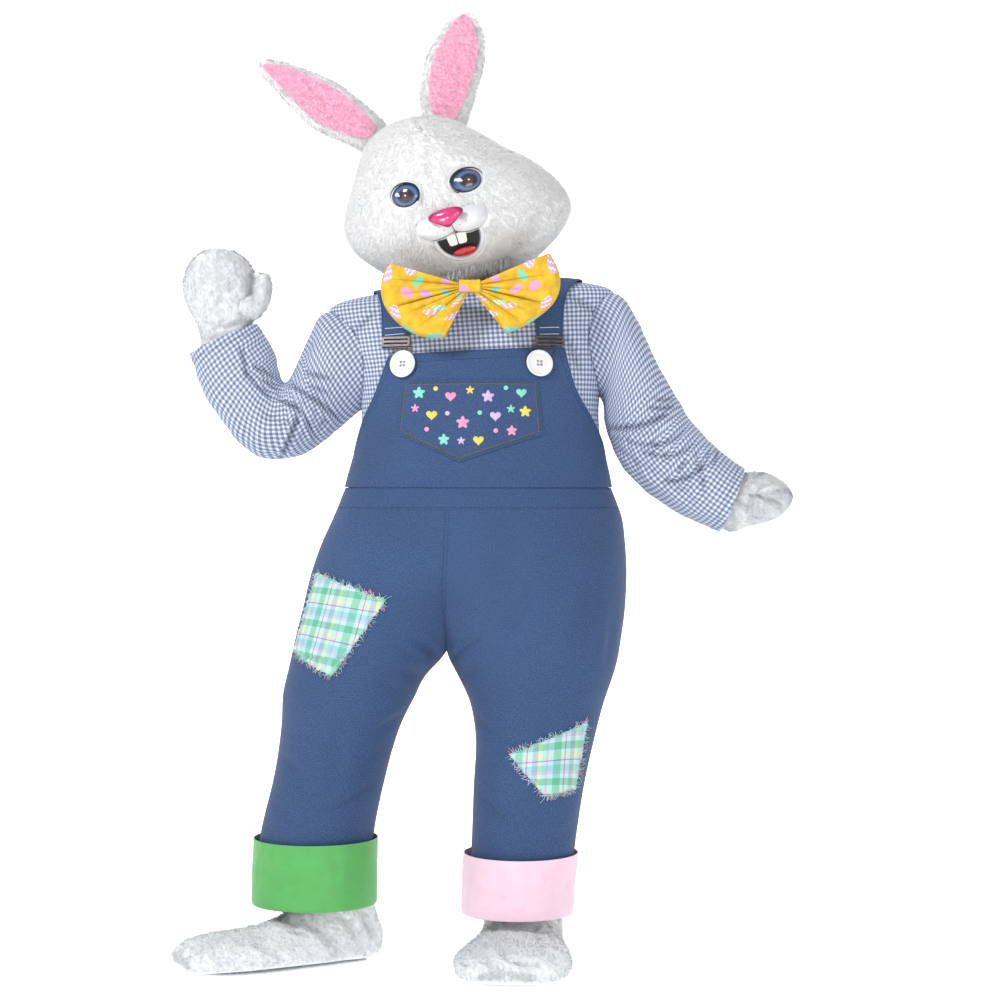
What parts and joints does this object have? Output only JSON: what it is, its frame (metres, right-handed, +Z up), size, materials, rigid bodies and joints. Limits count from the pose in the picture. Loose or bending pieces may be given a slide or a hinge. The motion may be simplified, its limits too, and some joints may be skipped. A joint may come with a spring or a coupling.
{
  "type": "bunny costume",
  "caption": "Worn mascot-style rabbit costume: plush head with stuffed ears, bow tie, checked shirt, denim bib overalls with patches and turned-up cuffs, plush mitts and foot covers.",
  "frame": {"origin": "middle of the wearer's shoulder line, where the straps and shirt rest on the wearer", "axes": "+X to the viewer's right in the front view, +Y towards the back, +Z up"},
  "size_m": [1.2462, 0.505, 1.9455],
  "materials": {
    "white_plush": "long soft pile",
    "pink_plush": "soft pile",
    "blue_eye": "glossy printed dome",
    "white_plastic": "glossy moulding",
    "black_mesh": "matt",
    "red_plastic": "glossy",
    "pink_plastic": "glossy",
    "yellow_print": "printed cotton",
    "gingham": "small woven checks",
    "denim": "washed twill",
    "green_cloth": "soft plain cloth",
    "pink_cloth": "soft plain cloth",
    "plaid": "pastel plaid with frayed edges",
    "nickel": "worn nickel plate",
    "button_white": "satin",
    "sole_cloth": "matt"
  },
  "bodies": {
    "root": {"adjuster_left": "nickel", "adjuster_right": "nickel", "bib_back": "denim", "bib_front": "denim", "bow_knot": "yellow_print", "bow_neck_band": "yellow_print", "bow_wing_left": "yellow_print", "bow_wing_right": "yellow_print", "button_left": "button_white", "button_right": "button_white", "cuff_left": "green_cloth", "cuff_right": "pink_cloth", "ear_left": "white_plush", "ear_lining_left": "pink_plush", "ear_lining_right": "pink_plush", "ear_right": "white_plush", "eye_left": "blue_eye", "eye_right": "blue_eye", "foot_left_sole": "sole_cloth", "foot_left_upper": "white_plush", "foot_right_sole": "sole_cloth", "foot_right_upper": "white_plush", "head_back": "white_plush", "head_face_left": "white_plush", "head_face_right": "white_plush", "hook_left": "nickel", "hook_right": "nickel", "leg_left_back": "denim", "leg_left_front": "denim", "leg_right_back": "denim", "leg_right_front": "denim", "lid_left": "white_plastic", "lid_right": "white_plastic", "mitt_left_back": "white_plush", "mitt_left_palm": "white_plush", "mitt_left_thumb": "white_plush", "mitt_right_back": "white_plush", "mitt_right_palm": "white_plush", "mitt_right_thumb": "white_plush", "mouth_lining": "black_mesh", "muzzle": "white_plastic", "nose": "pink_plastic", "patch_left": "plaid", "patch_right": "plaid", "pocket_panel": "denim", "shirt_back": "gingham", "shirt_front": "gingham", "shirt_neckband": "gingham", "sleeve_left": "gingham", "sleeve_right": "gingham", "strap_left": "denim", "strap_right": "denim", "teeth": "white_plastic", "tongue": "red_plastic", "waistband_back": "denim", "waistband_front": "denim"}
  },
  "joints": []
}
